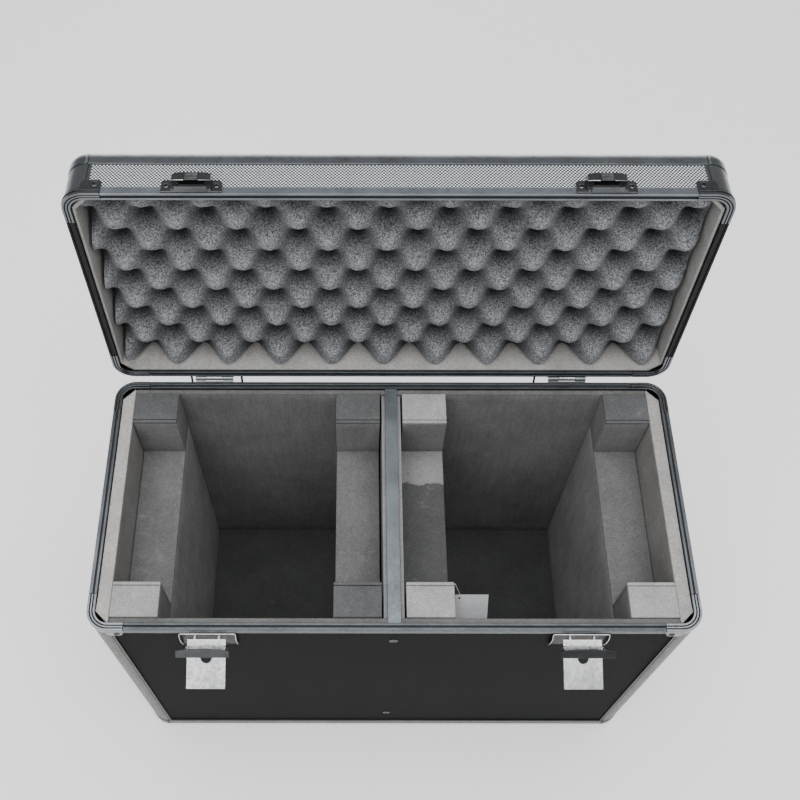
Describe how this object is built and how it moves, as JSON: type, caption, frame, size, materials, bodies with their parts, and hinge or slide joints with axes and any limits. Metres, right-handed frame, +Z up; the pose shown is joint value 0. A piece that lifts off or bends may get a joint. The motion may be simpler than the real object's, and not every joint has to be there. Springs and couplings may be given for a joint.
{
  "type": "telescope carry case",
  "caption": "Tall framed carry case with a hinged lid standing open, foam-lined compartments either side of a divider, draw latches, drop handles and rubber feet.",
  "frame": {"origin": "middle of the open case's outer box, on the floor under the rubber feet", "axes": "+X to the case's right, +Y to the hinge side (the back), +Z up"},
  "size_m": [0.6414, 0.4172, 0.7236],
  "materials": {
    "trim": "anodised, satin",
    "post": "dark anodised, satin",
    "panel": "board faced with fine-textured dark laminate",
    "lining": "light warm grey foam sheet, matt",
    "floor": "dark floor sheet, slight sheen",
    "pad": "mid grey closed-cell foam",
    "cap": "blue-grey anodised, satin",
    "foam": "charcoal open-cell foam, grainy",
    "hinge": "plated, satin",
    "steel": "bright satin",
    "dark_steel": "dark bright plating",
    "black": "black, satin",
    "rubber": "matt",
    "card": "blank white card"
  },
  "bodies": {
    "case": {"back_lining": "lining", "front_lining": "lining", "floor_lining": "floor", "left_side_lining": "lining", "right_side_lining": "lining", "body_front_panel": "panel", "body_back_panel": "panel", "body_left_panel": "panel", "body_right_panel": "panel", "body_bottom_panel": "panel", "body_front_left_corner": "post", "body_front_right_corner": "post", "body_back_left_corner": "post", "body_back_right_corner": "post", "body_rim_frame": "trim", "body_base_frame": "trim", "divider_board": "pad", "divider_cap": "cap", "left_divider_pad": "pad", "left_wall_pad": "pad", "right_divider_pad": "pad", "right_wall_pad": "pad", "handle_plate_left": "dark_steel", "handle_plate_right": "dark_steel", "hang_tag": "card", "hinge_body_leaf_left": "hinge", "hinge_body_leaf_right": "hinge", "hinge_pin_left": "steel", "hinge_pin_right": "steel", "latch_base_left": "dark_steel", "latch_base_right": "dark_steel", "rubber_foot_front_left": "rubber", "rubber_foot_front_right": "rubber", "rubber_foot_back_left": "rubber", "rubber_foot_back_right": "rubber"},
    "lid": {"lid_roof_panel": "panel", "lid_front_panel": "panel", "lid_back_panel": "panel", "lid_left_panel": "panel", "lid_right_panel": "panel", "lid_front_left_corner": "trim", "lid_front_right_corner": "trim", "lid_back_left_corner": "trim", "lid_back_right_corner": "trim", "lid_rim_frame": "trim", "lid_roof_frame": "trim", "lid_lining": "lining", "egg_crate_foam": "foam", "hinge_lid_leaf_left": "hinge", "hinge_lid_leaf_right": "hinge", "lid_catch_left": "dark_steel", "lid_catch_right": "dark_steel"},
    "stay_left": {"lid_stay_left": "black"},
    "lever_left": {"latch_lever_left": "steel"},
    "claw_left": {"latch_claw_left": "dark_steel"},
    "handle_left": {"carry_handle_left": "black"},
    "stay_right": {"lid_stay_right": "black"},
    "lever_right": {"latch_lever_right": "steel"},
    "claw_right": {"latch_claw_right": "dark_steel"},
    "handle_right": {"carry_handle_right": "black"}
  },
  "joints": [
    {"name": "lid_hinge", "type": "hinge", "parent": "case", "child": "lid", "pos_m": [0, 0.13105, 0.42645], "axis": [1, 0, 0], "range_deg": [0, 94.46]},
    {"name": "stay_left_pivot", "type": "hinge", "parent": "lid", "child": "stay_left", "pos_m": [-0.198, 0.14296, 0.42417], "axis": [-1, 0, 0], "range_deg": [0, 82]},
    {"name": "latch_left_lever", "type": "hinge", "parent": "case", "child": "lever_left", "pos_m": [-0.187, -0.1648, 0.411], "axis": [1, 0, 0], "range_deg": [0, 68], "stiffness_Nm_per_rad": 0.03, "springref_deg": -28.65},
    {"name": "latch_left_claw", "type": "hinge", "parent": "lever_left", "child": "claw_left", "pos_m": [-0.187, -0.17231, 0.41357], "axis": [-1, 0, 0], "range_deg": [0, 104]},
    {"name": "handle_left_swing", "type": "hinge", "parent": "case", "child": "handle_left", "pos_m": [-0.3145, -0.0158, 0.2995], "axis": [0, 1, 0], "range_deg": [0, 85]},
    {"name": "stay_right_pivot", "type": "hinge", "parent": "lid", "child": "stay_right", "pos_m": [0.198, 0.14296, 0.42417], "axis": [-1, 0, 0], "range_deg": [0, 82]},
    {"name": "latch_right_lever", "type": "hinge", "parent": "case", "child": "lever_right", "pos_m": [0.187, -0.1648, 0.411], "axis": [1, 0, 0], "range_deg": [0, 68], "stiffness_Nm_per_rad": 0.03, "springref_deg": -28.65},
    {"name": "latch_right_claw", "type": "hinge", "parent": "lever_right", "child": "claw_right", "pos_m": [0.187, -0.17231, 0.41357], "axis": [-1, 0, 0], "range_deg": [0, 104]},
    {"name": "handle_right_swing", "type": "hinge", "parent": "case", "child": "handle_right", "pos_m": [0.3145, -0.0158, 0.2995], "axis": [0, -1, 0], "range_deg": [0, 85]}
  ],
  "couplings": [
    {"joint": "stay_left_pivot", "follows": "lid_hinge", "ratio": 0.86547},
    {"joint": "latch_left_claw", "follows": "latch_left_lever", "ratio": 1.5294},
    {"joint": "stay_right_pivot", "follows": "lid_hinge", "ratio": 0.86547},
    {"joint": "latch_right_claw", "follows": "latch_right_lever", "ratio": 1.5294}
  ]
}
